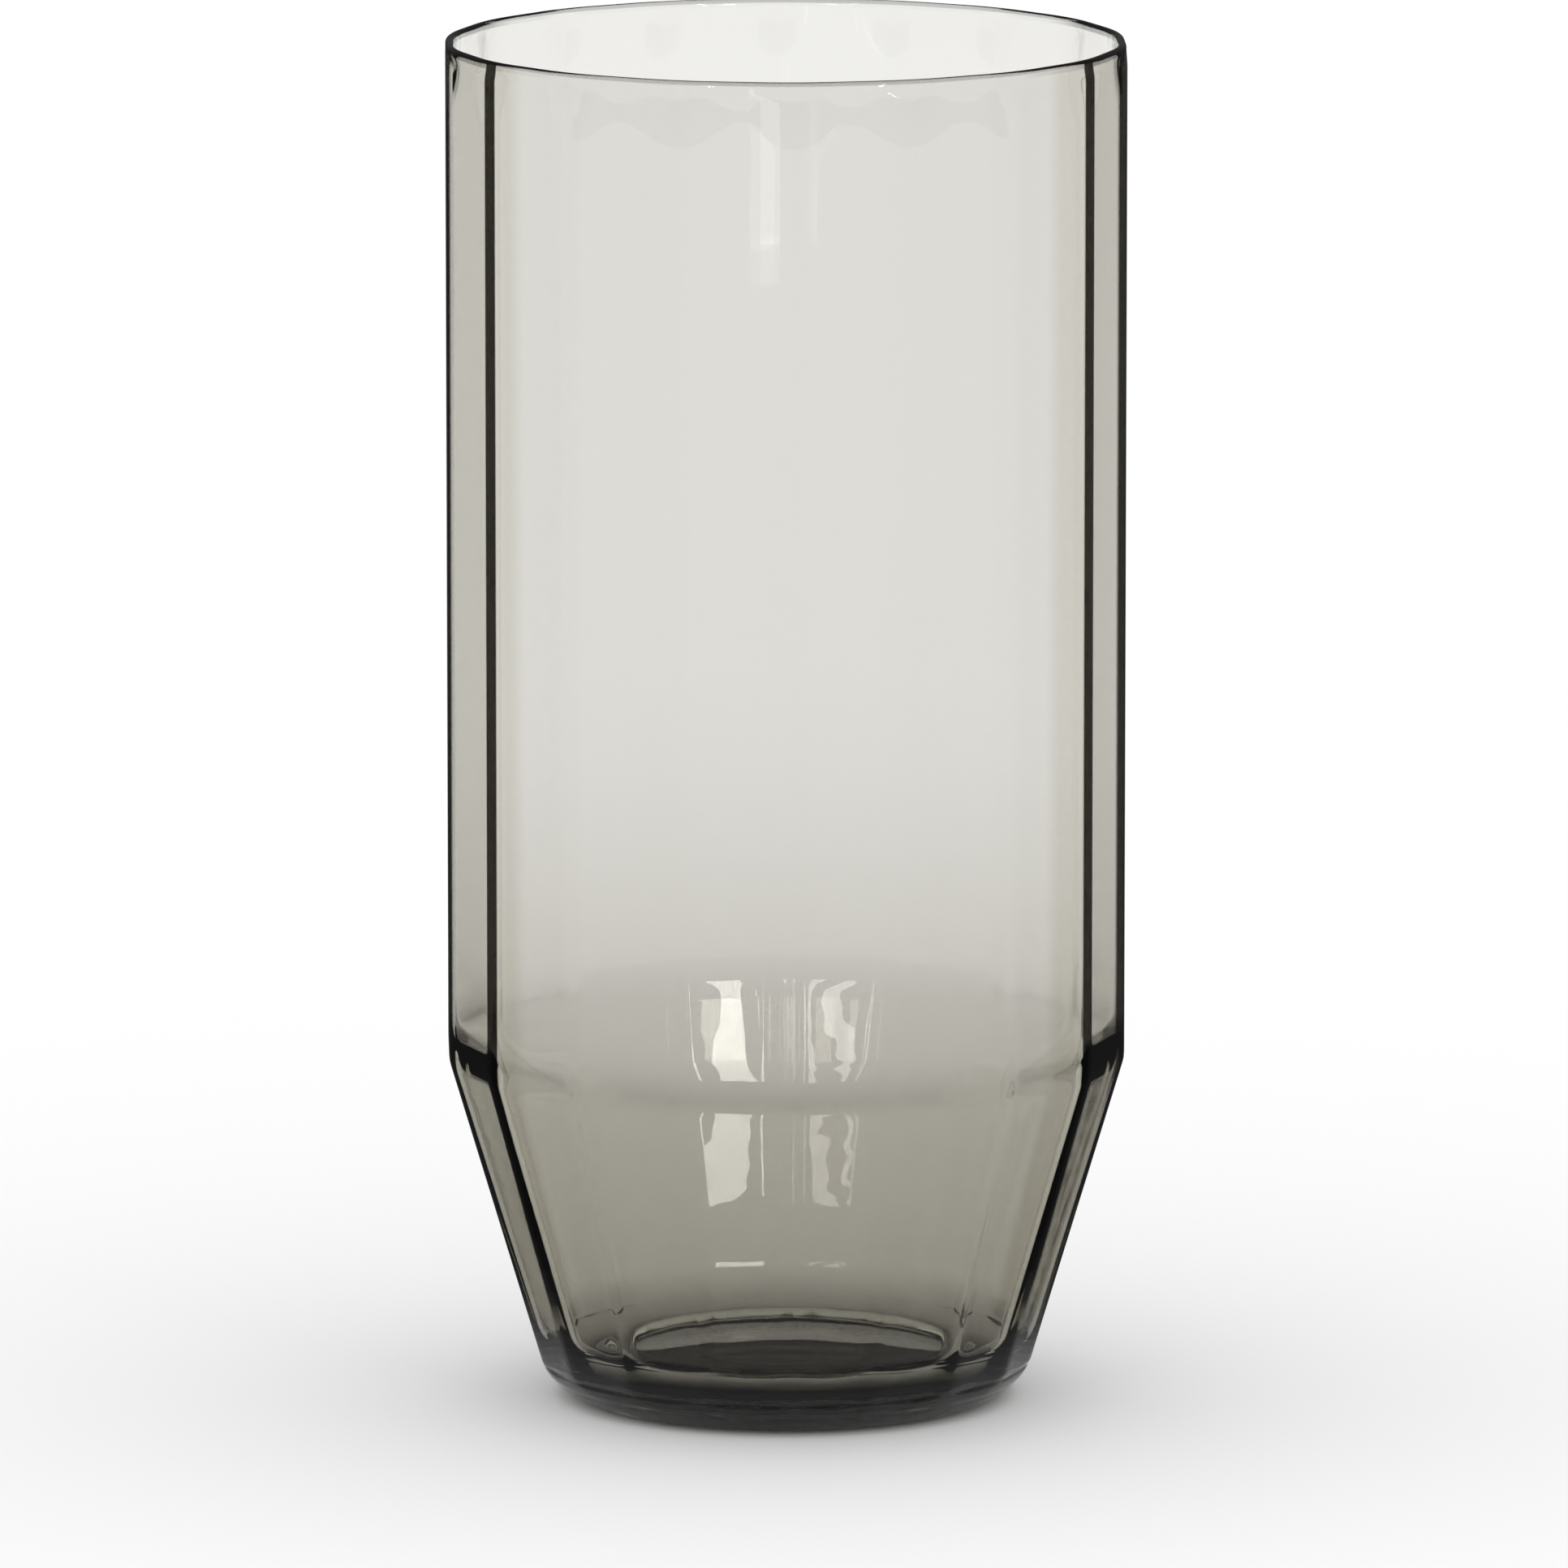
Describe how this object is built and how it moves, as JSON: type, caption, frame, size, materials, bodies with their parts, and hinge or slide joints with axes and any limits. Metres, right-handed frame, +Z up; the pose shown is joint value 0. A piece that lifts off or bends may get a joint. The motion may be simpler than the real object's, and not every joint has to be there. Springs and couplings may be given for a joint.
{
  "type": "glass vase",
  "caption": "Tall open glass cylinder vase with flat upright facets, a round thin lip, a tapered lower body and a thick rounded foot.",
  "frame": {"origin": "middle of the foot, on the plane the vase stands on", "axes": "+Z up along the vase's axis, out of the mouth; one facet corner lies on -Y"},
  "size_m": [0.125, 0.125, 0.25],
  "materials": {
    "smoke_glass": "clear polished glass, light smoke grey with a slightly warm tint"
  },
  "bodies": {
    "root": {"vessel": "smoke_glass"}
  },
  "joints": []
}
